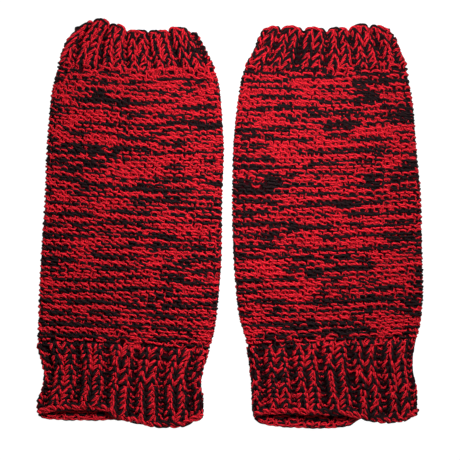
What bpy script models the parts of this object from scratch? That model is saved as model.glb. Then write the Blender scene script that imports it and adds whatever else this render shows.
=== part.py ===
"""A pair of knitted leg warmers, lying flat side by side.

Each leg warmer is one tube of thick cloth in three pieces: a ribbed upper cuff, a plain leg and a
ribbed lower cuff. Its front lies on its back, with a narrow slot between them that is open at both
hems. +Z is up, +Y runs from the lower hems to the upper ones, and the origin is on the floor under
the middle of the pair. The tables are in millimetres.
"""

import math
from collections import namedtuple

import bmesh
import bpy

MM = 0.001

# Cloth, in millimetres
WALL = 4.8  # one layer of the plain leg
VALLEY_WALL = 4.2  # one layer of a cuff between its ribs
RIB_RISE = 3.0  # how far a rib stands above the valley beside it
SLOT = 1.2  # between the front layer and the back one
SLOT_AT_HEM = 3.2  # the same at the middle of a hem, where the cuff gapes a little
GAPE_DEPTH = 0.55  # the share of a cuff's length over which it gapes
HEM_ROUND = 1.3  # how far the rim of a hem is drawn in
SEAM_GAP = 0.3  # between a cuff and the leg
SCALLOP = 2.5  # how far each rib bulges past an upper hem

# Ribs, as two knit stitches and two purl ones in every repeat
REPEATS_ROUND = 11
# Height across one repeat, from the middle of one valley: place in the repeat, share of RIB_RISE
RibPoint = namedtuple("RibPoint", "place rise")
RIB_PROFILE = (
    RibPoint(0.00, 0.00),
    RibPoint(0.13, 0.22),
    RibPoint(0.24, 0.86),
    RibPoint(0.50, 1.00),
    RibPoint(0.76, 0.86),
    RibPoint(0.87, 0.22),
)
RIB_FADE = 0.05  # share of the width, beside each fold, over which the ribs sink into it

# Red and black yarn seen from afar
LEG_COLOUR = (0.42, 0.015, 0.03)
CUFF_COLOUR = (0.33, 0.012, 0.025)
SHARP_ANGLE = 50  # degrees

# How finely each piece is divided
FOLD_STEPS = 6  # across a fold edge
BACK_STEPS = 9  # across the back, which is flat where it rests
LEG_STEPS = 26  # across the front of a leg
RINGS = {"upper_cuff": 6, "leg": 15, "lower_cuff": 8}

# Where the folds are, from the pair's middle line, at a height above the lowest hem
Section = namedtuple("Section", "along left right")
# A hem: where across the front, and how far the front and the back reach past the hem's line
HemPoint = namedtuple("HemPoint", "across front back")
# The line where a cuff meets the leg: where across the front, and how far up it bows
JoinPoint = namedtuple("JoinPoint", "across up")

LEFT_SECTIONS = (
    Section(0.0, -187.5, -26.0),
    Section(23.5, -187.0, -25.5),
    Section(35.0, -183.5, -27.0),
    Section(43.0, -181.5, -28.5),
    Section(52.5, -181.0, -27.0),
    Section(64.5, -182.5, -23.5),
    Section(76.0, -185.5, -19.5),
    Section(83.0, -187.5, -17.0),
    Section(99.5, -187.0, -13.5),
    Section(128.5, -186.0, -10.0),
    Section(175.5, -183.5, -7.0),
    Section(222.0, -180.5, -6.5),
    Section(271.0, -178.5, -5.0),
    Section(298.0, -176.5, -6.5),
    Section(322.0, -174.5, -8.0),
    Section(339.0, -171.0, -10.5),
    Section(351.0, -168.0, -14.5),
    Section(368.5, -163.0, -22.5),
    Section(380.0, -157.5, -28.5),
    Section(390.0, -149.0, -35.0),
    Section(401.0, -140.0, -42.0),
)
RIGHT_SECTIONS = (
    Section(0.0, 25.5, 183.5),
    Section(17.5, 23.5, 185.0),
    Section(41.0, 22.5, 183.5),
    Section(52.5, 21.5, 180.5),
    Section(64.5, 20.0, 180.0),
    Section(76.0, 18.0, 181.5),
    Section(88.0, 15.5, 184.0),
    Section(105.5, 10.5, 188.0),
    Section(128.5, 7.0, 190.0),
    Section(175.5, 4.0, 189.0),
    Section(222.0, 3.0, 188.0),
    Section(271.0, 4.0, 183.5),
    Section(298.0, 6.0, 181.5),
    Section(322.0, 9.0, 179.0),
    Section(339.0, 11.5, 176.0),
    Section(351.0, 15.5, 174.5),
    Section(368.5, 24.5, 167.5),
    Section(380.0, 29.0, 163.0),
    Section(390.0, 35.0, 155.0),
    Section(401.0, 42.0, 147.0),
)

Leg = namedtuple(
    "Leg",
    "name sections lower_hem lower_hem_line lower_join lower_join_line "
    "upper_join upper_join_line upper_hem upper_hem_line "
    "lower_rib_start lower_rib_pitch upper_rib_start upper_rib_pitch",
)

LEFT = Leg(
    name="left",
    sections=LEFT_SECTIONS,
    lower_hem_line=15.5,
    lower_hem=(
        HemPoint(0.00, 0.0, 2.0),
        HemPoint(0.08, -1.0, 6.0),
        HemPoint(0.22, -2.0, 7.5),
        HemPoint(0.40, -1.5, 7.5),
        HemPoint(0.48, 5.5, 7.0),
        HemPoint(0.62, 11.5, 8.0),
        HemPoint(0.78, 15.0, 9.0),
        HemPoint(0.90, 14.5, 9.0),
        HemPoint(0.97, 10.0, 7.0),
        HemPoint(1.00, 6.0, 4.0),
    ),
    lower_join_line=80.0,
    lower_join=(JoinPoint(0.0, 3.0), JoinPoint(0.5, -0.5), JoinPoint(1.0, -5.0)),
    upper_join_line=351.0,
    upper_join=(
        JoinPoint(0.0, 5.0),
        JoinPoint(0.3, 0.0),
        JoinPoint(0.55, -4.5),
        JoinPoint(1.0, -1.0),
    ),
    upper_hem_line=390.0,
    upper_hem=(
        HemPoint(0.00, -4.0, -5.0),
        HemPoint(0.06, 4.0, 2.0),
        HemPoint(0.16, 7.8, 5.0),
        HemPoint(0.27, 3.5, 1.5),
        HemPoint(0.38, 1.0, -1.0),
        HemPoint(0.46, -3.0, -5.0),
        HemPoint(0.74, -3.5, -5.0),
        HemPoint(0.86, -0.5, -3.0),
        HemPoint(0.96, -0.5, -3.0),
        HemPoint(1.00, -4.0, -5.0),
    ),
    lower_rib_start=0.115,
    lower_rib_pitch=0.187,
    upper_rib_start=0.165,
    upper_rib_pitch=0.182,
)
RIGHT = Leg(
    name="right",
    sections=RIGHT_SECTIONS,
    lower_hem_line=13.5,
    lower_hem=(
        HemPoint(0.00, 0.0, 3.0),
        HemPoint(0.06, 0.0, 9.0),
        HemPoint(0.20, 0.0, 12.5),
        HemPoint(0.45, 1.0, 13.5),
        HemPoint(0.58, 2.0, 11.0),
        HemPoint(0.67, 5.0, 4.0),
        HemPoint(0.80, 8.5, 3.5),
        HemPoint(0.92, 7.5, 3.5),
        HemPoint(0.98, 4.0, 2.0),
        HemPoint(1.00, 2.0, 1.0),
    ),
    lower_join_line=82.0,
    lower_join=(JoinPoint(0.0, -3.5), JoinPoint(0.5, 0.0), JoinPoint(1.0, 4.0)),
    upper_join_line=351.0,
    upper_join=(JoinPoint(0.0, -0.5), JoinPoint(0.5, -0.5), JoinPoint(1.0, 2.5)),
    upper_hem_line=390.0,
    upper_hem=(
        HemPoint(0.00, -4.0, -5.0),
        HemPoint(0.06, -0.5, -3.0),
        HemPoint(0.30, -1.5, -4.0),
        HemPoint(0.55, -2.0, -4.5),
        HemPoint(0.72, -0.5, -3.5),
        HemPoint(0.85, 2.5, -1.5),
        HemPoint(0.95, -1.0, -3.0),
        HemPoint(1.00, -4.0, -5.0),
    ),
    lower_rib_start=0.145,
    lower_rib_pitch=0.190,
    upper_rib_start=0.010,
    upper_rib_pitch=0.193,
)


def curve_through(rows, column):
    """A smooth function of the rows' first column that passes through their values in column."""
    xs = [row[0] for row in rows]
    ys = [getattr(row, column) for row in rows]
    slopes = [(y1 - y0) / (x1 - x0) for x0, x1, y0, y1 in zip(xs, xs[1:], ys, ys[1:])]
    tangents = [slopes[0]]
    for before, after in zip(slopes, slopes[1:]):
        same_way = before * after > 0
        tangents.append(2 * before * after / (before + after) if same_way else 0.0)
    tangents.append(slopes[-1])

    def value(x):
        x = min(max(x, xs[0]), xs[-1])
        i = max(j for j in range(len(xs) - 1) if xs[j] <= x)
        width = xs[i + 1] - xs[i]
        t = (x - xs[i]) / width
        blend = t * t * (3 - 2 * t)
        return (
            ys[i] * (1 - blend)
            + ys[i + 1] * blend
            + width * t * (1 - t) * ((1 - t) * tangents[i] - t * tangents[i + 1])
        )

    return value


def rib_rise(across, start, pitch):
    """Share of a rib's height at a place across the front, 0 in a valley and 1 on a rib."""
    place = ((across - start) / pitch + 0.5) % 1.0
    rows = RIB_PROFILE + (RibPoint(1.0, RIB_PROFILE[0].rise),)
    for low, high in zip(rows, rows[1:]):
        if place <= high.place:
            t = (place - low.place) / (high.place - low.place)
            return low.rise + t * (high.rise - low.rise)
    return 0.0


def rib_stations(start, pitch):
    """Places across the front where a cuff's sections need a point, one for each RIB_PROFILE row."""
    first = -math.ceil((start + 0.5 * pitch) / pitch)
    places = (
        start + pitch * (repeat + point.place - 0.5)
        for repeat in range(first, first + REPEATS_ROUND)
        for point in RIB_PROFILE
    )
    margin = 0.2 * pitch * RIB_PROFILE[1].place
    return [0.0] + [p for p in places if margin < p < 1 - margin] + [1.0]


def stations(front):
    """Points round a section: (place across, angle). The front is at +90 degrees, the back at -90."""
    fold = [180.0 * k / FOLD_STEPS - 90.0 for k in range(1, FOLD_STEPS)]
    over = [(s, 90.0) for s in front]
    right = [(1.0, -a) for a in fold]
    under = [(1.0 - k / BACK_STEPS, -90.0) for k in range(BACK_STEPS + 1)]
    left = [(0.0, a) for a in fold]
    return over + right + under + left


class Piece:
    """One knitted piece of a leg warmer: its two end lines, its ribs and its sections."""

    def __init__(self, leg, kind):
        self.leg = leg
        self.kind = kind
        self.left = curve_through(leg.sections, "left")
        self.right = curve_through(leg.sections, "right")
        self.ribbed = kind != "leg"
        lower = kind == "lower_cuff"
        self.rib_start = leg.lower_rib_start if lower else leg.upper_rib_start
        self.rib_pitch = leg.lower_rib_pitch if lower else leg.upper_rib_pitch
        front = [k / LEG_STEPS for k in range(LEG_STEPS + 1)]
        if self.ribbed:
            front = rib_stations(self.rib_start, self.rib_pitch)
        self.stations = stations(front)

    def relief(self, across):
        """Share of a rib's height, sinking to nothing at the folds."""
        fade = min(1.0, across / RIB_FADE, (1.0 - across) / RIB_FADE)
        return rib_rise(across, self.rib_start, self.rib_pitch) * fade

    def join(self, which, across):
        """Height of the line where the leg meets the lower or upper cuff."""
        rows = getattr(self.leg, which + "_join")
        return getattr(self.leg, which + "_join_line") + curve_through(rows, "up")(across)

    def hem(self, which, across, frontness):
        """Height of a hem's edge, from the back at frontness 0 to the front at 1."""
        rows = getattr(self.leg, which + "_hem")
        front = curve_through(rows, "front")(across)
        back = curve_through(rows, "back")(across)
        reach = back + (front - back) * frontness
        line = getattr(self.leg, which + "_hem_line")
        if which == "lower":
            return line - reach
        return line + reach + SCALLOP * self.relief(across) * frontness

    def ends(self, across, frontness):
        """Heights of the piece's lower and upper ends."""
        if self.kind == "lower_cuff":
            return self.hem("lower", across, frontness), self.join("lower", across) - SEAM_GAP / 2
        if self.kind == "upper_cuff":
            return self.join("upper", across) + SEAM_GAP / 2, self.hem("upper", across, frontness)
        return (
            self.join("lower", across) + SEAM_GAP / 2,
            self.join("upper", across) - SEAM_GAP / 2,
        )

    def from_hem(self, t):
        """Share of a cuff's length between a section and its hem."""
        return t if self.kind == "lower_cuff" else 1.0 - t

    def slot(self, across, t):
        """Height of the slot between the layers."""
        if not self.ribbed:
            return SLOT
        near = max(0.0, 1.0 - self.from_hem(t) / GAPE_DEPTH)
        lens = 1.0 - (2.0 * across - 1.0) ** 2
        return SLOT + (SLOT_AT_HEM - SLOT) * near * near * lens

    def front_wall(self, across):
        """Thickness of the front layer."""
        if not self.ribbed:
            return WALL
        fade = min(1.0, across / RIB_FADE, (1.0 - across) / RIB_FADE)
        return WALL + (VALLEY_WALL - WALL) * fade + RIB_RISE * self.relief(across)

    def point(self, across, angle, t):
        """One outer point and the inner one behind it, as (x, y, z) in millimetres."""
        turn = math.radians(angle)
        frontness = (1.0 + math.sin(turn)) / 2
        low, high = self.ends(across, frontness)
        y = low + (high - low) * t
        radius = WALL + SLOT / 2
        x = self.left(y) + radius + (self.right(y) - self.left(y) - 2 * radius) * across
        side = math.cos(turn) * (1.0 if across > 0.5 else -1.0)
        slot = self.slot(across, t)
        if angle == 90.0:
            top = WALL + slot
            return (x, y, top + self.front_wall(across)), (x, y, top)
        if angle == -90.0:
            return (x, y, 0.0), (x, y, WALL)
        outer = (x + side * radius, y, radius * (1 + math.sin(turn)))
        inner = (x + side * SLOT / 2, y, radius + math.sin(turn) * SLOT / 2)
        return outer, inner

    def section(self, t, drawn_in=0.0):
        """Outer and inner points of the section at share t of the length, drawn together at a rim."""
        outer, inner = [], []
        for across, angle in self.stations:
            a, b = self.point(across, angle, t)
            span = math.dist(a, b)
            share = drawn_in / span
            outer.append(tuple(p + (q - p) * share for p, q in zip(a, b)))
            inner.append(tuple(q + (p - q) * share for p, q in zip(a, b)))
        return outer, inner

    def sections(self):
        """All sections from the lower end to the upper one, with a rounded rim at a hem."""
        count = RINGS[self.kind]
        shares = [k / count for k in range(count + 1)]
        low, high = self.ends(0.5, 1.0)
        rim = HEM_ROUND / (high - low)
        made = [(t, 0.0) for t in shares]
        if self.kind == "lower_cuff":
            made = [(0.0, HEM_ROUND), (rim, 0.0)] + made[1:]
        elif self.kind == "upper_cuff":
            made = made[:-1] + [(1.0 - rim, 0.0), (1.0, HEM_ROUND)]
        return [self.section(t, drawn_in) for t, drawn_in in made]


def loft(name, sections, offset):
    """A closed wall through the sections, moved by offset in millimetres."""
    mesh = bpy.data.meshes.new(name)
    shape = bmesh.new()
    rings = [
        [
            [shape.verts.new([(c + d) * MM for c, d in zip(point, offset)]) for point in loop]
            for loop in pair
        ]
        for pair in sections
    ]
    count = len(rings[0][0])
    for layer in (0, 1):
        for low, high in zip(rings, rings[1:]):
            for i in range(count):
                j = (i + 1) % count
                shape.faces.new((low[layer][i], low[layer][j], high[layer][j], high[layer][i]))
    for outer, inner in (rings[0], rings[-1]):
        for i in range(count):
            j = (i + 1) % count
            shape.faces.new((outer[i], outer[j], inner[j], inner[i]))
    bmesh.ops.recalc_face_normals(shape, faces=shape.faces)
    shape.to_mesh(mesh)
    shape.free()
    mesh.shade_smooth()
    mesh.set_sharp_from_angle(angle=math.radians(SHARP_ANGLE))
    return bpy.data.objects.new(name, mesh)


def cloth_material(name, colour):
    """Matte woollen yarn in one colour."""
    material = bpy.data.materials.new(name)
    material.use_nodes = True
    surface = material.node_tree.nodes["Principled BSDF"]
    surface.inputs["Base Color"].default_value = (*colour, 1.0)
    surface.inputs["Roughness"].default_value = 0.9
    surface.inputs["Metallic"].default_value = 0.0
    return material


def main():
    for old in list(bpy.data.objects):
        bpy.data.objects.remove(old)
    collection = bpy.data.collections.new("leg_warmers")
    bpy.context.scene.collection.children.link(collection)

    made = {
        f"{leg.name}_{kind}": Piece(leg, kind).sections()
        for leg in (LEFT, RIGHT)
        for kind in ("upper_cuff", "leg", "lower_cuff")
    }
    points = [p for rings in made.values() for ring in rings for loop in ring for p in loop]
    middle = [(min(p[k] for p in points) + max(p[k] for p in points)) / 2 for k in (0, 1)]
    for name, rings in made.items():
        piece = loft(name, rings, (-middle[0], -middle[1], 0.0))
        colour = LEG_COLOUR if name.endswith("leg") else CUFF_COLOUR
        piece.data.materials.append(cloth_material(name + "_yarn", colour))
        collection.objects.link(piece)


main()
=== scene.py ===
"""Looks of a pair of hand-knitted leg warmers, lying flat side by side.

Each leg warmer is knitted round in two strands held together, one red and one black. Every stitch is
modelled: each strand is a tube that runs through its loops. The tables are in millimetres, as in the
solids, and a stitch's place in the cloth is its wale, counted round the tube, and its row, counted
down from the upper hem.
"""

import math
from collections import namedtuple

import bpy
import numpy as np
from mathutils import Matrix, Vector


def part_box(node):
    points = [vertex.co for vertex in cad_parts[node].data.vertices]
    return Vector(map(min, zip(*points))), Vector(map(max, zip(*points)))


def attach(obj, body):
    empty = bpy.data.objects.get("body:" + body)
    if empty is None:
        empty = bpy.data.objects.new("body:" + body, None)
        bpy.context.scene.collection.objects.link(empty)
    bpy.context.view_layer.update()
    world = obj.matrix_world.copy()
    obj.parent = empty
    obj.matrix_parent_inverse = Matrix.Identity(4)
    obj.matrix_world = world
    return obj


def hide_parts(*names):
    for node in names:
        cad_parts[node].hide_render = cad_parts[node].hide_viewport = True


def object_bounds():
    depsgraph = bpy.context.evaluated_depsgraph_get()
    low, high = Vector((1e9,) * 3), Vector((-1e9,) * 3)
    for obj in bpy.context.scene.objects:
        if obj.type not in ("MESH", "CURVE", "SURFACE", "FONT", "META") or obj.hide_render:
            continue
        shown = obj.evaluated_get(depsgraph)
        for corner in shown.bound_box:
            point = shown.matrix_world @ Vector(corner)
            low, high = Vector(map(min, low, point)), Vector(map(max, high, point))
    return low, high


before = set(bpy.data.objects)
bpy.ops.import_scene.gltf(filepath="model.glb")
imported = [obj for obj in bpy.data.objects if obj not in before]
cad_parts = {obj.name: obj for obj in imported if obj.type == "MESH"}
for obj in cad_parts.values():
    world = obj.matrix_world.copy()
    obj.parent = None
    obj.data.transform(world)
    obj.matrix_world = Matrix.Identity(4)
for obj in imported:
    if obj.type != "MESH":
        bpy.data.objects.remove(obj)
CAD_BOX = [list(corner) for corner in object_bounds()]

MM = 0.001

# The knitting
WALES = 44  # stitches round
REPEAT = 4  # 2 knit and 2 purl in the ribs
UPPER_ROWS = 7
LEG_ROWS = 48
LOWER_ROWS = 12
LEG_END = UPPER_ROWS + LEG_ROWS
ROWS = LEG_END + LOWER_ROWS
RIB_WIDENING = 0.74  # how much wider than the mean a knit stitch is in the ribs

# The cloth's form, in millimetres
WALL = 4.8  # one layer
SLOT = 1.2  # between the front layer and the back one
SLOT_AT_HEM = 3.2  # the same at the middle of a hem
RIB_LIFT = 2.0  # how far a rib's yarn lies above the middle of the wall
VALLEY_SINK = 2.8  # how far a valley's yarn lies below it
SWELL = 0.9  # how far the folds bulge past the sections
BACK_REACH = 1.8  # how far the back reaches past its hem line at a lower hem
CURL = 2.6  # how far the back curls up behind the front at a lower hem
UPPER_EDGE = 3.2  # height of the edge outside the first row
LOWER_EDGE = 5.0  # height of the edge outside the last row
OUTER_RADIUS = WALL + SLOT / 2  # of a fold's outer side
MIDDLE_RADIUS = (WALL + SLOT) / 2  # of the middle of its wall

# The same, in rows
SCALLOP_ROWS = 3.0  # over which the ribs' bulges past an upper hem fade
CURL_ROWS = 4.0  # over which the back's curl fades
RIB_OVERRUN = 0.5  # by which the ribs run on into the leg
RIB_FADE_ROWS = 1.5  # over which they fade there
BLEND_ROWS = 5.0  # over which the leg's wales spread evenly

# The same, as shares
GAPE_DEPTH = 0.55  # of a cuff's length, over which it gapes
BACK_SQUEEZE = 0.5  # of the front's thickness, which the stitches have on the back and at the folds
RIB_SLOPE = 1.25  # how steeply the ribs rise out of the valleys
RIB_FOOT = 0.1  # how wide the valleys' floors are
RIB_AT_HEM_LINE = 0.4  # the height on a rib at which its bulge past the upper hem begins
RIB_AT_LOWER_EDGE = 0.8  # height of the bound-off edge, as a share of a rib's

# The yarn, in millimetres
STRAND_RADIUS = 1.14
PAIR_ASIDE = 1.05  # half the distance between the strands where they lie side by side
PAIR_STACKED = 0.8  # the same where one lies on the other
TOP_WIDER = 0.16  # how much wider the strand on top is, as a share of its radius
TOP_FLATTER = 0.08  # how much flatter it is

# The loops' depth in the cloth, in millimetres
LOOP_DEPTH = 1.7  # how far a purl loop runs in and out
SINKER_RISE = 0.35  # how much further out all but the knit loops' upper ends lie than their middles
PURL_SINK = 0.2  # how far all but the knit loops lie in
KNIT_TILT = 0.6  # how much further out the upper ends of the knit legs lie than their middles

# The same, as shares of the purl loops' depth
KNIT_DEPTH = 1.22
VALLEY_DEPTH = 0.12

# The loops, as shares of a stitch or of a row
NECK_PURL = 0.30  # how far the purl loops narrow at their necks
LEG_ASIDE = 0.25  # how far a knit loop's legs lie from its middle
REACH_PURL = 0.86  # how far a loop reaches from the middle of its row
REACH_KNIT = 0.70
REACH_VALLEY = 0.12
LEAN_PURL = 0.07  # how far the loops' lower ends lie to the right
SLANT_PURL = 0.09  # how far a purl loop's ends fall to the right

# How suddenly the loops turn
FLATNESS = 1.2  # how flat the purl loops' ends are
DIVE_PURL = 5.0  # how suddenly a purl loop's legs run in
DIVE_KNIT = 3  # how suddenly a knit loop's ends do
KNIT_BEND = 0.45  # how long, in radians of a loop, the knit legs take to turn aside at their ends
RIB_SHARPNESS = 1.4  # how suddenly the valleys' loops follow on the ribs' ones

# How a cuff's knit loops spread and lean on their way down, as shares of a stitch, how thick their legs
# are, as a share of the others, and half the distance between the strands in millimetres
Knit = namedtuple("Knit", "spread lean fullness apart")
UPPER_KNIT = Knit(spread=0.25, lean=-0.07, fullness=1.2, apart=0.95)
LOWER_KNIT = Knit(spread=0.24, lean=-0.06, fullness=1.3, apart=1.2)

# How much thinner the strands are, as shares of their radius
THINNER_VALLEY = 0.1
THINNER_KNIT_ENDS = 0.25
THINNER_LEGS = 0.1  # at the legs of all but the knit loops
THINNER_PURL = 0.02

# How unevenly the loops are knitted, as shares of a stitch or of a row, with the height in millimetres
# and the thickness as a share of the strand's; sway and wave run through many stitches
Uneven = namedtuple("Uneven", "neck spread lean aside reach down height thickness sway wave")
UNEVEN = Uneven(
    neck=0.05, spread=0.03, lean=0.03, aside=0.07, reach=0.04, down=0.07,
    height=0.15, thickness=0.07, sway=0.04, wave=0.12,
)
STEADIER_KNIT = 0.04  # how much less the knit loops lie aside
SWAY_PURL = 0.12  # how much more the purl loops sway

# How much more red than black shows in places: the red strand lies on the black one above 0
UPPER_END_RED = 0.3  # at the loops' upper ends, and as much less at their lower ones
KNIT_RED = 0.25  # in the knit loops
# In the valleys more black shows, a painted shade for their depth
VALLEY_SHADE_RED = -0.5  # in the valleys between the ribs
BACK_HEM_RED = 3.0  # on the back's inside along the lower hem
SHORT_RUNS = 0.6  # how much it changes over a stitch or two
WHOLE_ROWS = 0.4  # how much it changes over a quarter of a row
KNIT_CALM = 0.5  # how much less it changes in the knit loops

# How strongly the red strand keeps beside the black one, to the right of the yarn's run, rather
# than over or under it
SIDE_KNIT = 1.2  # to either side
SIDE_SWITCH = 3  # how suddenly it changes sides there
SIDE_DRIFT = 0.3  # how much it changes besides
SIDE_PURL = 0.25
SIDE_VALLEY = 0.5
SIDE_VALLEY_LEFT = 0.3  # how much more it keeps to the left there
TINY = 1e-6  # keeps a division by their sum safe

# A strand pair that coils along a hem, in millimetres: how far it lies up the leg and out of the
# cloth, how far it rises and turns over, in shares of a stitch how far it leans and starts, what
# shows of it and how the strands wind round each other
Edge = namedtuple("Edge", "up rise out depth lean start red runs side winding turns thickness")
EDGES = {
    "upper": (
        Edge(
            up=1.2, rise=0.35, out=1.3, depth=0.35, lean=0.05, start=0.0,
            red=0.25, runs=0.0, side=0.3, winding=1.0, turns=0.35, thickness=1.1,
        ),
    ),
    "lower": (
        Edge(
            up=-1.2, rise=1.8, out=0.5, depth=1.1, lean=0.22, start=0.125,
            red=0.9, runs=1.0, side=0.6, winding=0.0, turns=0.0, thickness=1.3,
        ),
        Edge(
            up=-3.5, rise=0.2, out=-0.2, depth=0.3, lean=0.0, start=0.0,
            red=0.2, runs=0.0, side=-0.3, winding=1.0, turns=0.3, thickness=0.95,
        ),
    ),
}
WINDING_STACKED = 0.6  # how strongly the winding lays one strand over the other
WINDING_ASIDE = 1.2  # and how strongly beside it
WINDING_DRIFT = 2.0  # radians by which it runs early or late
EDGE_SHORT_RUNS = 0.8  # how much red changes over a stitch or two
EDGE_LONG_RUNS = 0.5  # and over more
EDGE_UNEVEN_RISE = 0.12
EDGE_UNEVEN_SIDE = 0.3

# Wales by which an edge takes its random values further on than the row beside it
RUNS_FURTHER = 5.0
JITTER_FURTHER = 7.0
SIDE_FURTHER = 9.0

# Random values that change round the tube
WAVES_IN_LENGTH = 2.5  # how many of the finest waves fit in the length over which they change
KERNEL_REACH = 3  # how far rows are alike, in multiples of rows_alike
SPARE_ROWS = 2  # past each end

# How finely the stitches are divided, where they show most and on the back
CUFF_STEPS = 12
LEG_STEPS = 10
FRONT_SIDES = 5
BACK_STEPS = 4
BACK_SIDES = 3
CREST_DENSITY = 0.22  # how much the steps crowd at the loops' ends
FOLD_WALES = 0.7  # wales past each fold that are as fine as the front
FINE_BACK_ROWS = 3  # rows of the back at the lower hem that show from above

# The thin dark tube behind the stitches, a painted shade for the yarn deep between them, in millimetres
SHADE_SHEET_HALF = 0.25  # half its thickness
SHADE_SHEET_DEPTH = 0.6  # how far behind the middle of the wall it lies
SHADE_SHEET_AT_FOLD = 2.6  # how far outside it at the folds
SHADE_SHEET_RING_ROWS = 2.5  # rows from ring to ring
SHADE_SHEET_IN_UPPER_EDGE = 0.5  # how far it reaches into an edge, as a share of the edge's height
SHADE_SHEET_IN_LOWER_EDGE = 0.7

# The pieces of a leg warmer: their rows, the steps of a stitch, the painted shade sheet's columns to a
# stitch, the end with an edge, and the finish
Kind = namedtuple("Kind", "first last steps columns end slot")
KINDS = {
    "upper_cuff": Kind(0, UPPER_ROWS, CUFF_STEPS, 4, "upper", "cuff_knit"),
    "leg": Kind(UPPER_ROWS, LEG_END, LEG_STEPS, 2, None, "leg_knit"),
    "lower_cuff": Kind(LEG_END, ROWS, CUFF_STEPS, 4, "lower", "cuff_knit"),
}

# The yarn's colours in its furrows, a painted shade, and on its plies, and the dark sheet of painted
# shade
Colours = namedtuple("Colours", "dark bright")
YARNS = {
    "red": Colours(dark=(0.17, 0.002, 0.005), bright=(0.60, 0.010, 0.022)),
    "black": Colours(dark=(0.002, 0.0015, 0.0015), bright=(0.013, 0.0045, 0.006)),
}
# Painted shade: the sheet behind the stitches stands in for the shaded yarn deep between them
SHADE_SHEET_COLOUR = (0.02, 0.002, 0.004)
PLIES = 3.0
PLY_TURNS = 0.15  # turns that they take to a millimetre
PLY_CONTRAST = 0.5  # against the mottling
MOTTLING_SCALE = 900.0
# The dark colour is painted shade in the furrows between the plies, and the mottling's darker random
# tone
DARK_UP_TO = 0.15  # how high on the plies the dark colour ends
BRIGHT_FROM = 0.6  # and the bright one begins
BUMP_DEPTH = 0.3  # in millimetres
BUMP_STRENGTH = 0.6

# The stage, in metres
FLOOR_HALF = 8.0
BACKDROP_HEIGHT = 1.6
FLOOR_GAP = 0.0002
Light = namedtuple("Light", "name kind location size power")  # a sun's size is its angle
LIGHTS = (
    Light("sun", "SUN", (0.2, 0.7, 0.7), 0.3, 1.9),
    Light("lamp", "AREA", (0.05, 0.12, 0.33), 0.12, 1.7),
    Light("fill", "AREA", (-0.1, 0.0, 1.6), 1.2, 0.5),
)
SKY_POWER = 0.12

# The camera, in millimetres
FRAME_WIDTH = 448.5  # of the cloth's plane, which the picture holds
LENS = 85.0
SENSOR = 36.0
CAMERA_AIM = (0.975, 193.05)  # as in the tables

SHIFT_SAMPLES = 200  # along the left leg warmer, for its leftmost place

# Heights are counted up from the lowest hem, and places across from a line between the two leg
# warmers, but in a hem, a join and the ribs from 0 at the left fold to 1 at the right one
Section = namedtuple("Section", "along left right")  # where the sides lie at a height
HemPoint = namedtuple("HemPoint", "across front back")  # how far a hem reaches past its line
JoinPoint = namedtuple("JoinPoint", "across up")  # how far a cuff's join lies above its line
Ribs = namedtuple("Ribs", "start pitch")  # the first rib's middle, and from rib to rib
Red = namedtuple("Red", "upper_cuff leg lower_cuff")  # how much more red than black shows
Patch = namedtuple("Patch", "across along half_width half_height red")  # a redder or blacker spot

LEFT_SECTIONS = (
    Section(0.0, -187.5, -26.0),
    Section(23.5, -187.0, -25.5),
    Section(35.0, -183.5, -27.0),
    Section(43.0, -181.5, -28.5),
    Section(52.5, -181.0, -27.0),
    Section(64.5, -182.5, -23.5),
    Section(76.0, -185.5, -19.5),
    Section(83.0, -187.5, -17.0),
    Section(99.5, -187.0, -13.5),
    Section(128.5, -186.0, -10.0),
    Section(175.5, -183.5, -7.0),
    Section(222.0, -180.5, -6.5),
    Section(271.0, -178.5, -5.0),
    Section(298.0, -176.5, -6.5),
    Section(322.0, -174.5, -8.0),
    Section(339.0, -171.0, -10.5),
    Section(351.0, -168.0, -14.5),
    Section(368.5, -163.0, -22.5),
    Section(380.0, -157.5, -28.5),
    Section(390.0, -149.0, -35.0),
    Section(401.0, -140.0, -42.0),
)
RIGHT_SECTIONS = (
    Section(0.0, 25.5, 183.5),
    Section(17.5, 23.5, 185.0),
    Section(41.0, 22.5, 183.5),
    Section(52.5, 21.5, 180.5),
    Section(64.5, 20.0, 180.0),
    Section(76.0, 18.0, 181.5),
    Section(88.0, 15.5, 184.0),
    Section(105.5, 10.5, 188.0),
    Section(128.5, 7.0, 190.0),
    Section(175.5, 4.0, 189.0),
    Section(222.0, 3.0, 188.0),
    Section(271.0, 4.0, 183.5),
    Section(298.0, 6.0, 181.5),
    Section(322.0, 9.0, 179.0),
    Section(339.0, 11.5, 176.0),
    Section(351.0, 15.5, 174.5),
    Section(368.5, 24.5, 167.5),
    Section(380.0, 29.0, 163.0),
    Section(390.0, 35.0, 155.0),
    Section(401.0, 42.0, 147.0),
)

# A leg warmer: its sides, the hems' and joins' lines and how they run round them, its ribs, how much
# more red than black shows in its pieces and spots, in every other row and in long streaks, how far the
# ribs bulge past the upper hem, and the seed of its random values
Leg = namedtuple(
    "Leg",
    "name sections lower_hem lower_hem_line lower_join lower_join_line "
    "upper_join upper_join_line upper_hem upper_hem_line upper_ribs lower_ribs red patches "
    "alternation streaks scallop seed",
)

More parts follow.
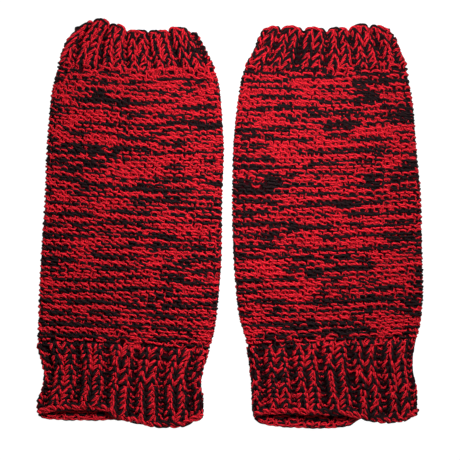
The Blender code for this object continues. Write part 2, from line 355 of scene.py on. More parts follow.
LEFT = Leg(
    name="left",
    sections=LEFT_SECTIONS,
    lower_hem_line=15.5,
    lower_hem=(
        HemPoint(0.00, 2.0, 5.0),
        HemPoint(0.03, 1.0, 6.5),
        HemPoint(0.08, -1.0, 7.0),
        HemPoint(0.22, -2.0, 7.5),
        HemPoint(0.40, -1.5, 7.5),
        HemPoint(0.48, 5.5, 7.0),
        HemPoint(0.62, 11.5, 8.0),
        HemPoint(0.78, 15.0, 9.0),
        HemPoint(0.90, 14.5, 9.0),
        HemPoint(0.97, 10.0, 7.0),
        HemPoint(1.00, 8.0, 6.0),
    ),
    lower_join_line=80.0,
    lower_join=(JoinPoint(0.0, 3.0), JoinPoint(0.5, -0.5), JoinPoint(1.0, -5.0)),
    upper_join_line=351.0,
    upper_join=(
        JoinPoint(0.0, 5.0),
        JoinPoint(0.3, 0.0),
        JoinPoint(0.55, -4.5),
        JoinPoint(1.0, -1.0),
    ),
    upper_hem_line=390.0,
    upper_hem=(
        HemPoint(0.00, 0.0, -3.0),
        HemPoint(0.03, 5.5, 2.0),
        HemPoint(0.08, 8.0, 4.5),
        HemPoint(0.16, 8.0, 5.0),
        HemPoint(0.27, 3.5, 1.5),
        HemPoint(0.38, 1.0, -1.0),
        HemPoint(0.46, -3.0, -5.0),
        HemPoint(0.74, -3.5, -5.0),
        HemPoint(0.86, -0.5, -3.0),
        HemPoint(0.96, -0.5, -3.0),
        HemPoint(1.00, -4.0, -5.0),
    ),
    upper_ribs=Ribs(start=0.165, pitch=0.182),
    lower_ribs=Ribs(start=0.115, pitch=0.187),
    red=Red(upper_cuff=-0.1, leg=0.2, lower_cuff=-0.5),
    patches=(
        Patch(-98, 320, 22, 4, -0.6),
        Patch(-95, 303, 22, 9, 0.8),
        Patch(-131, 281, 45, 4, 0.9),
        Patch(-140, 266, 35, 9, -0.2),
        Patch(-67, 252, 30, 12, 0.7),
        Patch(-160, 247, 20, 9, -0.4),
        Patch(-82, 234, 20, 5, -0.8),
        Patch(-43, 227, 25, 5, -0.8),
        Patch(-62, 123, 22, 6, -0.7),
        Patch(-136, 96, 42, 4, 0.9),
    ),
    alternation=0.95,
    streaks=0.7,
    scallop=2.4,
    seed=11,
)
RIGHT = Leg(
    name="right",
    sections=RIGHT_SECTIONS,
    lower_hem_line=13.5,
    lower_hem=(
        HemPoint(0.00, 3.0, 7.0),
        HemPoint(0.03, 1.5, 9.0),
        HemPoint(0.06, 0.0, 10.5),
        HemPoint(0.20, 0.0, 12.5),
        HemPoint(0.45, 1.0, 13.5),
        HemPoint(0.58, 2.0, 11.0),
        HemPoint(0.67, 5.0, 4.0),
        HemPoint(0.80, 8.5, 3.5),
        HemPoint(0.92, 7.5, 3.5),
        HemPoint(0.98, 4.0, 2.0),
        HemPoint(1.00, 2.0, 1.0),
    ),
    lower_join_line=82.0,
    lower_join=(JoinPoint(0.0, -3.5), JoinPoint(0.5, 0.0), JoinPoint(1.0, 4.0)),
    upper_join_line=351.0,
    upper_join=(JoinPoint(0.0, -0.5), JoinPoint(0.5, -0.5), JoinPoint(1.0, 2.5)),
    upper_hem_line=390.0,
    upper_hem=(
        HemPoint(0.00, -2.0, -4.0),
        HemPoint(0.03, 0.5, -3.0),
        HemPoint(0.30, -1.0, -4.0),
        HemPoint(0.55, -2.0, -4.5),
        HemPoint(0.72, -0.5, -3.5),
        HemPoint(0.85, 2.5, -1.5),
        HemPoint(0.97, 0.0, -3.0),
        HemPoint(1.00, -1.5, -4.0),
    ),
    upper_ribs=Ribs(start=0.010, pitch=0.193),
    lower_ribs=Ribs(start=-0.045, pitch=0.190),
    red=Red(upper_cuff=-0.5, leg=0.2, lower_cuff=-0.5),
    patches=(
        Patch(147, 339, 25, 4, -1.0),
        Patch(59, 307, 22, 6, -1.1),
        Patch(118, 276, 26, 6, 1.0),
        Patch(57, 271, 18, 14, 1.4),
        Patch(152, 240, 30, 5, -1.4),
        Patch(110, 222, 22, 6, -1.6),
        Patch(69, 213, 32, 5, 1.1),
        Patch(40, 152, 26, 10, 1.0),
        Patch(55, 133, 20, 8, 1.0),
        Patch(133, 125, 25, 8, -1.2),
        Patch(89, 94, 20, 6, -1.1),
    ),
    alternation=0.85,
    streaks=0.82,
    scallop=4.0,
    seed=29,
)


def smooth(t):
    """A ramp from 0 to 1 with soft ends."""
    t = np.clip(t, 0.0, 1.0)
    return t * t * (3 - 2 * t)


def curve_through(rows, column):
    """A smooth function of the rows' first column that passes through their values in column."""
    xs = np.array([row[0] for row in rows])
    ys = np.array([getattr(row, column) for row in rows])
    widths = np.diff(xs)
    slopes = np.diff(ys) / widths
    before, after = slopes[:-1], slopes[1:]
    total = np.where(before * after > 0, before + after, 1.0)
    inner = np.where(before * after > 0, 2 * before * after / total, 0.0)
    tangents = np.concatenate([slopes[:1], inner, slopes[-1:]])

    def value(x):
        x = np.clip(x, xs[0], xs[-1])
        i = np.clip(np.searchsorted(xs, x, side="right") - 1, 0, len(xs) - 2)
        t = (x - xs[i]) / widths[i]
        blend = t * t * (3 - 2 * t)
        bend = (1 - t) * tangents[i] - t * tangents[i + 1]
        return ys[i] * (1 - blend) + ys[i + 1] * blend + widths[i] * t * (1 - t) * bend

    return value


class RowNoise:
    """Smooth random values round the tube, one curve for each row, alike in nearby rows."""

    def __init__(self, rng, length, rows_alike=0.0):
        waves = np.arange(1, int(WAVES_IN_LENGTH * WALES / length) + 1)
        weights = np.exp(-0.5 * (waves * length / WALES) ** 2 * math.pi)
        wide = int(KERNEL_REACH * rows_alike) + 1
        count = ROWS + 2 * wide + 2 * SPARE_ROWS
        made = rng.normal(size=(count, len(waves))) + 1j * rng.normal(size=(count, len(waves)))
        if rows_alike:
            steps = np.arange(-wide, wide + 1)
            kernel = np.exp(-0.5 * (steps / rows_alike) ** 2)
            kernel /= math.sqrt((kernel**2).sum())
            made = np.array([np.convolve(c, kernel, mode="same") for c in made.T]).T
        self.first = wide + SPARE_ROWS
        self.waves = waves
        self.parts = made * weights / math.sqrt((weights**2).sum())

    def __call__(self, row, wale):
        turn = np.exp(2j * math.pi * np.multiply.outer(wale, self.waves) / WALES)
        return (turn * self.parts[row + self.first]).sum(-1).real


# A place between the two layers, the way out to the cloth from there, how far the yarn is lifted, and
# how thick the stitches are, as a share of the front's
Spot = namedtuple("Spot", "axis out lift squeeze")


class Cloth:
    """Where a leg warmer's cloth lies: its place for each wale, row and height."""

    def __init__(self, leg, shift):
        self.leg = leg
        self.shift = shift
        self.left = curve_through(leg.sections, "left")
        self.right = curve_through(leg.sections, "right")
        self.hems = {
            (end, side): curve_through(getattr(leg, end + "_hem"), side)
            for end in ("upper", "lower")
            for side in ("front", "back")
        }
        self.joins = {
            end: curve_through(getattr(leg, end + "_join"), "up") for end in ("upper", "lower")
        }
        self.upper_middle = self.middle_repeat(leg.upper_ribs)
        self.lower_middle = self.middle_repeat(leg.lower_ribs)

    def front_wales(self):
        """The wales that lie on the front somewhere along the leg."""
        middles = REPEAT * self.upper_middle, REPEAT * self.lower_middle
        half = WALES / 4 + FOLD_WALES
        return math.floor(min(middles) - half), math.ceil(max(middles) + half)

    def middle_repeat(self, ribs):
        """The repeat, counted from the first rib's valley, that lies at the middle of the front."""
        return 0.5 + (0.5 - ribs.start) / ribs.pitch

    def hem(self, end, across, frontness):
        """Height of a hem's outer edge above the lowest hem."""
        front = self.hems[end, "front"](across)
        back = self.hems[end, "back"](across)
        reach = back + (front - back) * frontness
        if end == "lower":
            return self.leg.lower_hem_line - reach - BACK_REACH * (1.0 - frontness)
        return self.leg.upper_hem_line + reach

    def join(self, end, across):
        """Height of the line between a cuff and the leg above the lowest hem."""
        return getattr(self.leg, end + "_join_line") + self.joins[end](across)

    def along(self, across, frontness, row):
        """Height of a row above the lowest hem."""
        lines = (
            self.hem("upper", across, frontness) - UPPER_EDGE,
            self.join("upper", across),
            self.join("lower", across),
            self.hem("lower", across, frontness) + LOWER_EDGE,
        )
        starts = (0, UPPER_ROWS, LEG_END)
        counts = (UPPER_ROWS, LEG_ROWS, LOWER_ROWS)
        part = np.digitize(row, starts[1:])
        parts = [
            top + (bottom - top) * (row - start) / count
            for top, bottom, start, count in zip(lines, lines[1:], starts, counts)
        ]
        return np.choose(part, parts)

    def girth(self, row):
        """Distance round the tube at a row, and how much of it is flat on the front."""
        along = self.along(np.full_like(row, 0.5), np.full_like(row, 0.5), row)
        straight = self.right(along) - self.left(along) - 2 * OUTER_RADIUS
        return 2 * straight + 2 * math.pi * MIDDLE_RADIUS, straight

    def round_in_ribs(self, ribs, wale, span, straight):
        """Distance round the tube from the left fold, for a wale in a cuff."""
        repeat = wale / REPEAT
        repeat = repeat - RIB_WIDENING * np.sin(2 * math.pi * repeat) / (2 * math.pi)
        first = 0.5 - ribs.start / ribs.pitch
        on_front = 1 / ribs.pitch
        repeats = WALES / REPEAT
        turns, place = np.divmod(repeat - first, repeats)
        behind = repeats - on_front
        front = place / on_front * straight
        back = straight + (place - on_front) / behind * (span - straight)
        quarter = math.pi / 2 * MIDDLE_RADIUS
        return quarter + np.where(place < on_front, front, back) + turns * span

    def round(self, wale, row, evenly=False):
        """Distance round the tube from the left fold, the tube's girth and the front's flat width."""
        span, straight = self.girth(row)
        leg_row = np.clip((row - UPPER_ROWS) / LEG_ROWS, 0.0, 1.0)
        middle = self.upper_middle + (self.lower_middle - self.upper_middle) * leg_row
        even = (wale / REPEAT - middle) * REPEAT / WALES * span + span / 4
        if evenly:
            return even % span, span, straight
        upper = self.round_in_ribs(self.leg.upper_ribs, wale, span, straight)
        lower = self.round_in_ribs(self.leg.lower_ribs, wale, span, straight)
        to_upper = smooth(1.0 - (row - UPPER_ROWS) / BLEND_ROWS)
        to_lower = smooth(1.0 - (LEG_END - row) / BLEND_ROWS)
        mixed = even + (upper - even) * to_upper + (lower - even) * to_lower
        return mixed % span, span, straight

    def ribbing(self, row):
        """1 in the cuffs and 0 in the leg."""
        upper = smooth((UPPER_ROWS + RIB_OVERRUN - row) / RIB_FADE_ROWS)
        lower = smooth((row - LEG_END + RIB_OVERRUN) / RIB_FADE_ROWS)
        return upper + lower

    def gape(self, across, row):
        """How much further apart the layers are near a hem."""
        upper = row / UPPER_ROWS
        lower = (ROWS - row) / LOWER_ROWS
        from_hem = np.clip(np.minimum(upper, lower), 0.0, 1.0)
        near = np.clip(1.0 - from_hem / GAPE_DEPTH, 0.0, 1.0)
        return (SLOT_AT_HEM - SLOT) * near * near * (1.0 - (2.0 * across - 1.0) ** 2)

    def turned(self, wale, row, evenly):
        """How far across a wale lies, from 0 to 1, and the angle of the way out of the cloth there."""
        distance, span, straight = self.round(wale, row, evenly)
        quarter = math.pi / 2 * MIDDLE_RADIUS
        ends = (quarter, quarter + straight, 3 * quarter + straight, 3 * quarter + 2 * straight)
        on_front = (distance - ends[0]) / straight
        on_back = 1.0 - (distance - ends[2]) / straight
        turn_right = math.pi / 2 - (distance - ends[1]) / MIDDLE_RADIUS
        turn_left = np.where(
            distance < ends[0],
            distance / MIDDLE_RADIUS,
            (distance - span) / MIDDLE_RADIUS,
        )
        right_side = (distance >= ends[0]) & (distance < ends[3])
        across = np.where(distance < ends[1], on_front, np.where(distance < ends[2], 1.0, on_back))
        across = np.where(right_side, across, 0.0)
        turn = np.where(distance < ends[2], turn_right, -math.pi / 2)
        turn = np.where(distance < ends[1], math.pi / 2, turn)
        return across, np.where(right_side, turn, turn_left)

    def spot(self, wale, row, up=0.0, evenly=False):
        """The cloth's place at a wale and row, raised by up millimetres along the leg."""
        across, turn = self.turned(wale, row, evenly)
        frontness = (1.0 + np.sin(turn)) / 2
        on_back = np.clip(1.0 - 2.0 * frontness, 0.0, 1.0)
        if evenly:
            rib = np.full_like(wale, RIB_AT_LOWER_EDGE)
        else:
            rib = smooth((0.5 - 0.5 * np.cos(2 * math.pi * wale / REPEAT)) * RIB_SLOPE - RIB_FOOT)
        lift = (VALLEY_SINK * (rib - 1.0) + RIB_LIFT * rib) * self.ribbing(row) * frontness**2
        lift = lift - CURL * on_back * smooth(1.0 - (ROWS - row) / CURL_ROWS)
        bulge = self.leg.scallop * (rib - RIB_AT_HEM_LINE) * smooth(1.0 - row / SCALLOP_ROWS)
        y = self.along(across, frontness, row) + up + bulge
        left = self.left(y) - SWELL + OUTER_RADIUS
        right = self.right(y) + SWELL - OUTER_RADIUS
        x = left + (right - left) * across
        z = OUTER_RADIUS + self.gape(across, row) * frontness**2
        side = np.where(across > 0.5, 1.0, -1.0)
        return Spot(
            axis=np.stack([x + self.shift[0], y + self.shift[1], z], -1),
            out=np.stack([side * np.cos(turn), np.zeros_like(turn), np.sin(turn)], -1),
            lift=lift,
            squeeze=BACK_SQUEEZE + (1.0 - BACK_SQUEEZE) * smooth(2.0 * frontness - 1.0),
        )

    def patches(self, spot):
        """How much redder than the rest the front is here."""
        across, along = spot.axis[:, 0] - self.shift[0], spot.axis[:, 1] - self.shift[1]
        total = np.zeros_like(across)
        for patch in self.leg.patches:
            aside = (across - patch.across) / patch.half_width
            above = (along - patch.along) / patch.half_height
            total += patch.red * np.exp(-aside * aside - above * above)
        return np.where(spot.out[:, 2] > 0, total, 0.0)

    def point(self, spot, height):
        """The points in millimetres at a height out of the middle of the wall."""
        reach = MIDDLE_RADIUS + spot.lift + spot.squeeze * height
        return spot.axis + spot.out * reach[:, None]


def kind_of(row):
    """The name of the piece that a row is in."""
    return next(name for name, kind in KINDS.items() if row < kind.last)


def knit_form(row):
    """The form of a row's knit loops."""
    return UPPER_KNIT if row < UPPER_ROWS else LOWER_KNIT


def loop_shares(row, wale):
    """How much of each stitch is a purl loop, a knit one, and one in a valley between the ribs."""
    if kind_of(row) == "leg":
        knit = np.zeros_like(wale)
        valley = np.zeros_like(wale)
    else:
        knit = np.clip(0.5 - RIB_SHARPNESS * np.cos(2 * math.pi * wale / REPEAT), 0, 1)
        valley = 1.0 - knit
    return 1 - knit - valley, knit, valley


def knit_legs(turn, spread):
    """How far from its even run a knit loop lies aside: two straight legs, joined at their ends."""
    leg = LEG_ASIDE + spread * np.cos(turn)
    below = np.tanh(np.abs(turn) / KNIT_BEND)
    above = np.tanh((math.pi - np.abs(turn)) / KNIT_BEND)
    aside = leg * below + (0.5 - leg) * (1 - above)
    return np.sign(turn) * aside - turn / (2 * math.pi)


class Knitting:
    """The run of the two strands through the loops of one leg warmer."""

    def __init__(self, leg, cloth):
        rng = np.random.default_rng(leg.seed)
        self.leg = leg
        self.cloth = cloth
        self.short_runs = [RowNoise(rng, length=1.6) for _ in range(2)]
        self.long_runs = [RowNoise(rng, length=5.0) for _ in range(2)]
        self.rows = RowNoise(rng, length=11.0)
        self.alternate = RowNoise(rng, length=8.0, rows_alike=4.0)
        self.side = RowNoise(rng, length=3.0)
        self.jitter = [RowNoise(rng, length=1.4) for _ in range(5)]
        self.sway = RowNoise(rng, length=8.0, rows_alike=3.0)
        self.wave = RowNoise(rng, length=12.0, rows_alike=2.0)
        self.thickness = RowNoise(rng, length=1.2)

    def middle(self, row, wale, turn):
        """Middle of the doubled yarn, where turn runs round each loop from -pi to pi."""
        purl, knit, valley = loop_shares(row, wale)
        jitter = [noise(row, wale) for noise in self.jitter]
        neck = (NECK_PURL + UNEVEN.neck * jitter[0]) * purl
        form = knit_form(row)
        spread = form.spread + UNEVEN.spread * jitter[0]
        lean = LEAN_PURL * purl + form.lean * knit + UNEVEN.lean * jitter[4]
        at = wale + neck * np.sin(2 * turn) + lean * np.cos(turn) + knit * knit_legs(turn, spread)
        at = at + (UNEVEN.aside - STEADIER_KNIT * knit) * jitter[1]
        at = at + (UNEVEN.sway + SWAY_PURL * purl) * self.sway(row, wale)
        reach = REACH_PURL * purl + REACH_KNIT * knit + REACH_VALLEY * valley
        reach = reach + UNEVEN.reach * jitter[2]
        flat = np.tanh(FLATNESS * np.cos(turn)) / math.tanh(FLATNESS)
        down = row + 0.5 + reach * (np.cos(turn) + (flat - np.cos(turn)) * purl)
        down = down + SLANT_PURL * np.sin(2 * turn) * purl + UNEVEN.down * jitter[3]
        down = down + UNEVEN.wave * self.wave(row, wale)
        purl_arch = 1 - 2 * np.abs(np.sin(turn)) ** DIVE_PURL
        knit_arch = 1 - 2 * np.abs(np.cos(turn)) ** DIVE_KNIT
        height = LOOP_DEPTH * (purl + VALLEY_DEPTH * valley) * purl_arch
        height = height + LOOP_DEPTH * KNIT_DEPTH * knit * knit_arch
        height = height - KNIT_TILT * knit * np.cos(turn)
        height = height - (1 - knit) * (SINKER_RISE * np.cos(turn) + PURL_SINK)
        return at, down, height + UNEVEN.height * jitter[4]

    def shown(self, row, wale, turn):
        """Which strand lies in front: the red one above 0, the black one below."""
        ends = [
            SHORT_RUNS * short(row, wale) + self.leg.streaks * long(row, wale)
            for short, long in zip(self.short_runs, self.long_runs)
        ]
        low = (1 + np.cos(turn)) / 2
        upper_end = ends[0] + UPPER_END_RED
        lower_end = ends[1] - UPPER_END_RED
        every_other = self.leg.alternation * (1 if row % 2 else -1) * self.alternate(row, wale)
        rows = WHOLE_ROWS * self.rows(row, wale) + every_other
        return upper_end * (1 - low) + lower_end * low + rows + getattr(self.leg.red, kind_of(row))

    def strand(self, row, wale, turn, colour):
        """One strand's middle line, its frame and its radii along one row."""
        at, down, height = self.middle(row, wale, turn)
        purl, knit, valley = loop_shares(row, wale)
        spot = self.cloth.spot(at, down)
        red = self.shown(row, wale, turn) + self.cloth.patches(spot)
        if row >= ROWS - FINE_BACK_ROWS:
            red = self.seen_from_above(red, spot)
        # Less red in the valleys is painted shade for their depth
        red = red * (1 - KNIT_CALM * knit) + KNIT_RED * knit + VALLEY_SHADE_RED * valley
        side = self.side(row, wale)
        parallel = SIDE_KNIT * np.tanh(SIDE_SWITCH * side) + SIDE_DRIFT * side
        in_valley = SIDE_VALLEY * side - SIDE_VALLEY_LEFT
        side = SIDE_PURL * side * purl + parallel * knit + in_valley * valley
        form = knit_form(row)
        fullness = 1 + (form.fullness - 1) * knit
        apart = PAIR_ASIDE + (form.apart - PAIR_ASIDE) * knit
        thick = STRAND_RADIUS * fullness * (1 + UNEVEN.thickness * self.thickness(row, wale))
        thick = thick * (1 - THINNER_VALLEY * valley - THINNER_KNIT_ENDS * knit * np.cos(turn) ** 2)
        leg = (1 - knit) * np.sin(turn) ** 2
        thick = thick * (1 - THINNER_LEGS * leg - THINNER_PURL * purl)
        return self.half_pair(spot, height, red, side, thick, colour, apart)

    def seen_from_above(self, red, spot):
        """Turned over on the back, whose inside shows at a hem, and redder there."""
        facing = spot.out[:, 2]
        return red * facing - BACK_HEM_RED * (1 - facing) / 2

    def half_pair(self, spot, height, red, side, thick, colour, apart):
        """One of two strands that run together, side by side or one over the other."""
        line = self.cloth.point(spot, height)
        tangent = np.gradient(line, axis=0)
        tangent /= np.linalg.norm(tangent, axis=1, keepdims=True)
        aside = np.cross(tangent, spot.out)
        aside /= np.linalg.norm(aside, axis=1, keepdims=True)
        out = np.cross(aside, tangent)
        length = np.hypot(red, side) + TINY
        way = 1.0 if colour == "red" else -1.0
        red = way * red / length
        side = way * side / length
        line = line + aside * (apart * side)[:, None]
        line = line + out * (PAIR_STACKED * spot.squeeze * red)[:, None]
        wide = thick * (1 + TOP_WIDER * red)
        deep = thick * (1 - TOP_FLATTER * red) * spot.squeeze ** 0.5
        return line, aside, out, wide, deep

    def rope(self, end, edge, wale, colour):
        """One strand's line, frame and radii along a hem: a cast-on edge or a bound-off one."""
        row = 0 if end == "upper" else ROWS - 1
        turn = 2 * math.pi * wale
        jitter = [noise(row, wale + JITTER_FURTHER) for noise in self.jitter]
        rise = edge.rise * (1 + EDGE_UNEVEN_RISE * jitter[0])
        up = edge.up + rise * np.cos(turn - 2 * math.pi * edge.start) + UNEVEN.height * jitter[1]
        height = edge.depth * np.sin(turn) + edge.out + UNEVEN.height * jitter[2]
        at = wale - edge.lean * np.cos(turn)
        line_row = np.full_like(wale, 0.0 if end == "upper" else ROWS)
        spot = self.cloth.spot(at, line_row, up, evenly=end == "lower")
        runs = EDGE_SHORT_RUNS * self.short_runs[0](row, wale + RUNS_FURTHER)
        runs = runs + EDGE_LONG_RUNS * self.long_runs[0](row, wale + RUNS_FURTHER)
        angle = edge.turns * turn + WINDING_DRIFT * self.rows(row, wale)
        red = edge.red + edge.runs * runs + WINDING_STACKED * edge.winding * np.cos(angle)
        red = self.seen_from_above(red, spot)
        side = edge.side * (1 + EDGE_UNEVEN_SIDE * self.side(row, wale + SIDE_FURTHER))
        side = side + WINDING_ASIDE * edge.winding * np.sin(angle)
        thick = STRAND_RADIUS * edge.thickness * np.ones_like(wale)
        return self.half_pair(spot, height, red, side, thick, colour, PAIR_ASIDE)


Tube = namedtuple("Tube", "points quads places sides")


def tube(line, aside, out, wide, deep, sides):
    """A tube round a line, with how far round and along it each corner of each face lies."""
    angles = 2 * math.pi * np.arange(sides) / sides
    ring = (
        aside[:, None, :] * (np.cos(angles)[None, :, None] * wide[:, None, None])
        + out[:, None, :] * (np.sin(angles)[None, :, None] * deep[:, None, None])
    )
    points = (line[:, None, :] + ring).reshape(-1, 3)
    steps = np.linalg.norm(np.diff(line, axis=0), axis=1)
    travelled = np.concatenate([[0.0], np.cumsum(steps)])
    i, j = np.meshgrid(np.arange(len(line) - 1), np.arange(sides), indexing="ij")
    k = (j + 1) % sides
    quads = np.stack([i * sides + j, (i + 1) * sides + j, (i + 1) * sides + k, i * sides + k], -1)
    u = np.stack([j, j, j + 1, j + 1], -1) / sides
    v = np.stack([travelled[i], travelled[i + 1], travelled[i + 1], travelled[i]], -1)
    return Tube(points, quads.reshape(-1, 4), np.stack([u, v], -1).reshape(-1, 2), sides)


def add_object(name, data):
    """A new object in the scene."""
    piece = bpy.data.objects.new(name, data)
    bpy.context.scene.collection.objects.link(piece)
    return piece


def yarn_piece(name, tubes, material):
    """One piece from many tubes, closed at their ends, with the yarn's own map."""
    points = np.concatenate([t.points for t in tubes])
    points[:, 2] = np.maximum(points[:, 2], 0.0)
    starts = np.cumsum([0] + [len(t.points) for t in tubes[:-1]])
    quads = np.concatenate([t.quads + start for t, start in zip(tubes, starts)])
    places = np.concatenate([t.places for t in tubes])
    mesh = bpy.data.meshes.new(name)
    mesh.vertices.add(len(points))
    mesh.vertices.foreach_set("co", (points * MM).astype(np.float32).ravel())
    caps = []
    for t, start in zip(tubes, starts):
        last = start + len(t.points) - t.sides
        caps.append([start + j for j in range(t.sides)])
        caps.append([last + j for j in reversed(range(t.sides))])
    loops = np.concatenate([quads.ravel(), np.array([v for cap in caps for v in cap])])
    sizes = np.concatenate([np.full(len(quads), 4), [len(cap) for cap in caps]])
    mesh.loops.add(len(loops))
    mesh.loops.foreach_set("vertex_index", loops.astype(np.int32))
    mesh.polygons.add(len(sizes))
    first = np.concatenate([[0], np.cumsum(sizes)[:-1]])
    mesh.polygons.foreach_set("loop_start", first.astype(np.int32))
    mesh.polygons.foreach_set("loop_total", sizes.astype(np.int32))
    mesh.update(calc_edges=True)
    layer = mesh.uv_layers.new(name="Yarn")
    uv = np.zeros((len(loops), 2), np.float32)
    uv[: len(places)] = places
    layer.data.foreach_set("uv", uv.ravel())
    mesh.validate()
    mesh.shade_smooth()
    mesh.materials.append(material)
    return add_object(name, mesh)


def stretches(front, front_steps, all_fine):
    """The wales of the front and then those of the back, each with its number of sides."""
    first, last = front
    back = (front_steps, FRONT_SIDES) if all_fine else (BACK_STEPS, BACK_SIDES)
    for start, end, steps, sides in (
        (first, last, front_steps, FRONT_SIDES),
        (last, first + WALES, *back),
    ):
        wale = start + np.arange((end - start) * steps + 1) / steps
        yield wale - CREST_DENSITY * np.sin(4 * math.pi * wale) / (2 * math.pi), sides


def knitted_rows(knitting, kind, colour):
    """The tubes of one colour for a piece's rows."""
    front = knitting.cloth.front_wales()
    tubes = []
    for row in range(kind.first, kind.last):
        for wale, sides in stretches(front, kind.steps, row >= ROWS - FINE_BACK_ROWS):
            turn = 2 * math.pi * (wale - np.floor(wale) - 0.5)
            tubes.append(tube(*knitting.strand(row, wale, turn, colour), sides))
    return tubes


def edge_rope(knitting, end, colour):
    """The tubes of one colour along a hem."""
    front = knitting.cloth.front_wales()
    return [
        tube(*knitting.rope(end, edge, wale, colour), sides)
        for edge in EDGES[end]
        for wale, sides in stretches(front, CUFF_STEPS, True)
    ]


def material_of(name, values):
    """A material with these values on its surface."""
    material = bpy.data.materials.new(name)
    material.use_nodes = True
    surface = material.node_tree.nodes["Principled BSDF"]
    for socket, value in values.items():
        surface.inputs[socket].default_value = value
    return material


def math_node(tree, operation, *inputs):
    """The result of a math node that takes sockets and plain numbers."""
    node = tree.nodes.new("ShaderNodeMath")
    node.operation = operation
    for socket, value in zip(node.inputs, inputs):
        if isinstance(value, float):
            socket.default_value = value
        else:
            tree.links.new(value, socket)
    return node.outputs["Value"]


def yarn_material(name, colours):
    """Plied woollen yarn: soft twisted plies with painted shade in their furrows, a little mottled,
    with a woolly sheen.
    """
    bright = (*colours.bright, 1.0)
    material = material_of(
        name,
        {
            "Roughness": 0.85,
            "Specular IOR Level": 0.1,
            "Sheen Weight": 0.1,
            "Sheen Roughness": 0.5,
            "Sheen Tint": bright,
        },
    )
    tree = material.node_tree
    surface = tree.nodes["Principled BSDF"]
    place = tree.nodes.new("ShaderNodeUVMap")
    place.uv_map = "Yarn"
    split = tree.nodes.new("ShaderNodeSeparateXYZ")
    tree.links.new(place.outputs["UV"], split.inputs["Vector"])
    across = math_node(tree, "MULTIPLY", split.outputs["X"], PLIES)
    twist = math_node(tree, "MULTIPLY_ADD", split.outputs["Y"], PLY_TURNS, across)
    plies = math_node(tree, "COSINE", math_node(tree, "MULTIPLY", twist, 2 * math.pi))
    noise = tree.nodes.new("ShaderNodeTexNoise")
    noise.inputs["Scale"].default_value = MOTTLING_SCALE
    coordinates = tree.nodes.new("ShaderNodeTexCoord")
    tree.links.new(coordinates.outputs["Object"], noise.inputs["Vector"])
    relief = math_node(tree, "MULTIPLY_ADD", plies, PLY_CONTRAST, noise.outputs["Fac"])
    # The ramp paints shade into the furrows between the plies, and mixes in the mottling's random tone
    ramp = tree.nodes.new("ShaderNodeValToRGB")
    low, high = ramp.color_ramp.elements
    low.position = DARK_UP_TO
    low.color = (*colours.dark, 1.0)
    high.position = BRIGHT_FROM
    high.color = bright
    tree.links.new(relief, ramp.inputs["Fac"])
    tree.links.new(ramp.outputs["Color"], surface.inputs["Base Color"])
    bump = tree.nodes.new("ShaderNodeBump")
    bump.inputs["Strength"].default_value = BUMP_STRENGTH
    bump.inputs["Distance"].default_value = BUMP_DEPTH * MM
    tree.links.new(relief, bump.inputs["Height"])
    tree.links.new(bump.outputs["Normal"], surface.inputs["Normal"])
    return material


def ground_material():
    """Painted shade: dark and dull, as the shaded depth between the stitches looks."""
    values = {"Base Color": (*SHADE_SHEET_COLOUR, 1.0), "Specular IOR Level": 0.0, "Roughness": 0.95}
    return material_of("cloth_ground", values)


def white_material():
    """White by its own light, as the photo's background is."""
    return material_of(
        "white",
        {
            "Base Color": (0.1, 0.1, 0.1, 1.0),
            "Emission Color": (1.0, 1.0, 1.0, 1.0),
            "Emission Strength": 1.0,
            "Roughness": 0.9,
        },
    )


def ground_piece(name, cloth, kind, material):
    """A dark sheet of painted shade behind the stitches, for the shaded yarn deep between them: a thin
    tube, closed along its rims.
    """
    columns = kind.columns * WALES
    rings = int((kind.last - kind.first) / SHADE_SHEET_RING_ROWS) + 1
    wales = np.arange(columns) / kind.columns
    wale, row = np.meshgrid(wales, np.linspace(kind.first, kind.last, rings + 1))
    up = np.zeros_like(wale)
    if kind.end == "upper":
        up[0] = SHADE_SHEET_IN_UPPER_EDGE * UPPER_EDGE
    if kind.end == "lower":
        up[-1] = -SHADE_SHEET_IN_LOWER_EDGE * LOWER_EDGE
    spot = cloth.spot(wale.ravel(), row.ravel(), up.ravel())
    facing = spot.out[:, 2]
    middle = SHADE_SHEET_AT_FOLD * (1 - np.abs(facing)) - SHADE_SHEET_DEPTH * facing
    layers = [cloth.point(spot, middle + d) for d in (SHADE_SHEET_HALF, -SHADE_SHEET_HALF)]
    points = np.concatenate(layers)
    count = columns * (rings + 1)
    faces = []
    for i in range(rings):
        for j in range(columns):
            k = (j + 1) % columns
            a, b, c, d = i * columns + j, i * columns + k, (i + 1) * columns + k, (i + 1) * columns + j
            faces.append((a, b, c, d))
            faces.append((count + d, count + c, count + b, count + a))
    for i, flip in ((0, False), (rings, True)):
        for j in range(columns):
            k = (j + 1) % columns
            a, b = i * columns + j, i * columns + k
            face = (a, count + a, count + b, b)
            faces.append(tuple(reversed(face)) if flip else face)
    mesh = bpy.data.meshes.new(name)
    mesh.from_pydata((points * MM).tolist(), [], faces)
    mesh.validate()
    mesh.shade_smooth()
    mesh.materials.append(material)
    return add_object(name, mesh)


def shift_to_frame():
    """From the tables' millimetres to the frame's, in which the pair's middle is the origin."""
    left = curve_through(LEFT.sections, "left")
    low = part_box("left_leg")[0].x / MM
    along = np.linspace(LEFT.lower_join_line, LEFT.upper_join_line, SHIFT_SAMPLES)
    lowest_hem = min(
        leg.lower_hem_line - max(max(p.front, p.back) for p in leg.lower_hem) for leg in (LEFT, RIGHT)
    )
    return low - left(along).min(), CAD_BOX[0][1] / MM - lowest_hem


def cut(cloth, kind):
    """A piece's flat width and length: all round at half its length, and along its middle."""
    middle_row = np.array([(kind.first + kind.last) / 2.0])
    girth = cloth.girth(middle_row)[0][0]
    middle = np.full(2, 0.5)
    ends = cloth.along(middle, middle, np.array([kind.first, kind.last], float))
    edge = {"upper": UPPER_EDGE, "lower": LOWER_EDGE, None: 0.0}[kind.end]
    return girth * MM, (float(ends[0] - ends[1]) + edge) * MM


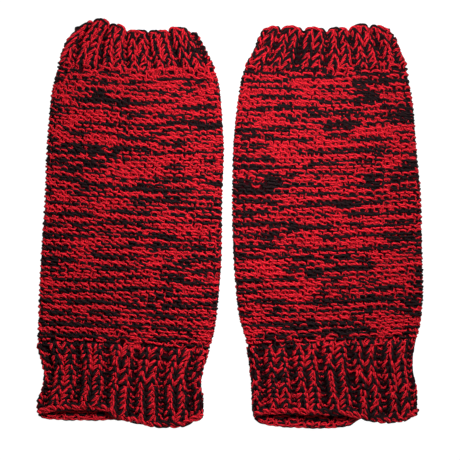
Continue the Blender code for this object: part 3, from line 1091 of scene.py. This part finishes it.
def build_leg(leg, shift, materials):
    """A leg warmer's pieces, each with its two yarns and its dark sheet of painted shade."""
    cloth = Cloth(leg, shift)
    knitting = Knitting(leg, cloth)
    for kind_name, kind in KINDS.items():
        node = f"{leg.name}_{kind_name}"
        yarns = []
        for colour in YARNS:
            tubes = knitted_rows(knitting, kind, colour)
            if kind.end:
                tubes += edge_rope(knitting, kind.end, colour)
            yarns.append(yarn_piece(f"{node}_{colour}_yarn", tubes, materials[colour]))
        # A dark sheet behind the stitches, painted shade for the yarn deep between them
        ground = ground_piece(f"{node}_ground", cloth, kind, materials["ground"])
        for piece in (ground, *yarns):
            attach(piece, "root")
        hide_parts(node)
        cut(cloth, kind)


def stage_piece(name, points, faces, material):
    """A piece of the stage, just under the cloth."""
    mesh = bpy.data.meshes.new(name)
    mesh.from_pydata(points, [], faces)
    mesh.materials.append(material)
    piece = add_object(name, mesh)
    piece.location.z = -FLOOR_GAP


def floor_and_backdrop():
    """A square floor and low walls far round it, which low views see behind the cloth."""
    material = white_material()
    corners = [(-1, -1), (1, -1), (1, 1), (-1, 1)]
    low = [(x * FLOOR_HALF, y * FLOOR_HALF, 0.0) for x, y in corners]
    high = [(x, y, BACKDROP_HEIGHT) for x, y, _ in low]
    stage_piece("floor", low, [(0, 1, 2, 3)], material)
    walls = [(i, 4 + i, 4 + (i + 1) % 4, (i + 1) % 4) for i in range(4)]
    stage_piece("backdrop", low + high, walls, material)


def add_light(light):
    """An area light that faces the origin, or a sun that shines from there."""
    lamp = bpy.data.lights.new(light.name, light.kind)
    if light.kind == "SUN":
        lamp.angle = light.size
    else:
        lamp.shape = "SQUARE"
        lamp.size = light.size
    lamp.energy = light.power
    piece = add_object(light.name, lamp)
    piece.location = light.location
    piece.rotation_euler = (-Vector(light.location)).to_track_quat("-Z", "Y").to_euler()


def sky():
    """A dim white light from all round."""
    scene = bpy.context.scene
    scene.world = scene.world or bpy.data.worlds.new("world")
    scene.world.use_nodes = True
    background = scene.world.node_tree.nodes["Background"]
    background.inputs["Color"].default_value = (1, 1, 1, 1)
    background.inputs["Strength"].default_value = SKY_POWER


def camera(shift):
    """Straight above, with the width of the picture at the height of the cloth's top."""
    data = bpy.data.cameras.new("camera")
    data.lens = LENS
    data.sensor_width = SENSOR
    piece = add_object("camera", data)
    distance = FRAME_WIDTH * MM * LENS / SENSOR
    piece.location = (
        (CAMERA_AIM[0] + shift[0]) * MM,
        (CAMERA_AIM[1] + shift[1]) * MM,
        distance + 2 * OUTER_RADIUS * MM,
    )
    bpy.context.scene.camera = piece


def main():
    shift = shift_to_frame()
    camera(shift)
    floor_and_backdrop()
    for light in LIGHTS:
        add_light(light)
    sky()
    bpy.context.scene.view_settings.view_transform = "Standard"
    materials = {colour: yarn_material(f"{colour}_yarn", colours) for colour, colours in YARNS.items()}
    materials["ground"] = ground_material()
    for leg in (LEFT, RIGHT):
        build_leg(leg, shift, materials)


main()
